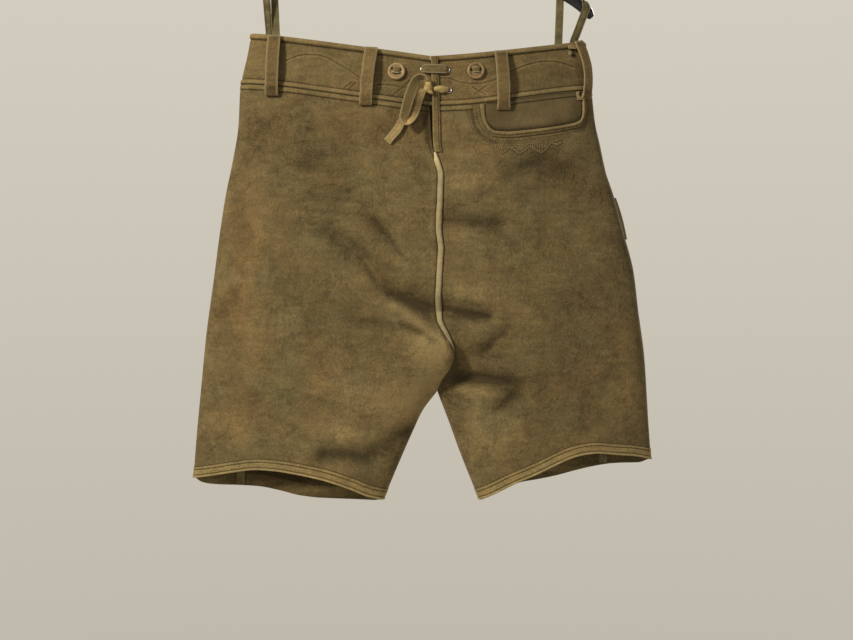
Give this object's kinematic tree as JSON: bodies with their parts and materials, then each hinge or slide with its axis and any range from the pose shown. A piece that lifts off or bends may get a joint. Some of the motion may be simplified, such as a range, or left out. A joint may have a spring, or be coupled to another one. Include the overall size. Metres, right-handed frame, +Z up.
{
  "type": "lederhosen on a hanger",
  "caption": "Short suede leather trousers with a laced back, belt loops, a welted back pocket and a drop front, hanging by two sewn tape loops from a plastic coat hanger.",
  "frame": {"origin": "top of the inside of the hanger's hook, where a rail carries it", "axes": "+Z up, +X to the wearer's right, -Y out of the garment's back"},
  "size_m": [0.5728, 0.0917, 0.797],
  "materials": {
    "suede_body": "napped suede, olive brown, brushed and a little worn",
    "suede_band": "napped suede, olive brown, stitched",
    "suede_edge": "napped suede, lighter where it is handled",
    "leather_cream": "cream leather piping, slightly soiled",
    "suede_lace": "tan suede lace and tape",
    "horn": "light horn-like buttons, satin",
    "nickel": "dull nickel plate",
    "plastic_black": "moulded black plastic",
    "hook_steel": "bright plated wire"
  },
  "bodies": {
    "root": {"back_left": "suede_body", "back_right": "suede_body", "front_left": "suede_body", "front_right": "suede_body", "slit_underlap": "suede_body", "pocket_facing": "suede_body", "flap": "suede_body", "waistband_left": "suede_band", "waistband_right": "suede_band", "slit_facing": "suede_band", "knife_pocket_welt": "suede_band", "belt_loop_1": "suede_band", "belt_loop_2": "suede_band", "belt_loop_3": "suede_band", "belt_loop_4": "suede_band", "belt_loop_5": "suede_band", "belt_loop_6": "suede_band", "hem_left": "suede_edge", "hem_right": "suede_edge", "pocket_welt": "suede_edge", "centre_piping": "leather_cream", "lace_bar": "suede_lace", "lace_strand": "suede_lace", "lace_knot": "suede_lace", "lace_loop": "suede_lace", "lace_tail": "suede_lace", "hanger_tape_left": "suede_lace", "hanger_tape_right": "suede_lace", "button_back_left": "horn", "button_back_right": "horn", "button_flap_left": "horn", "button_flap_right": "horn", "button_waist": "horn", "button_strap_back_left": "suede_band", "button_strap_back_right": "suede_band", "button_strap_flap_left": "suede_band", "button_strap_flap_right": "suede_band", "button_strap_waist": "suede_band", "eyelet_1": "nickel", "eyelet_2": "nickel", "eyelet_3": "nickel", "eyelet_4": "nickel", "hanger": "plastic_black", "hanger_neck": "plastic_black", "hanger_hook": "hook_steel"}
  },
  "joints": []
}
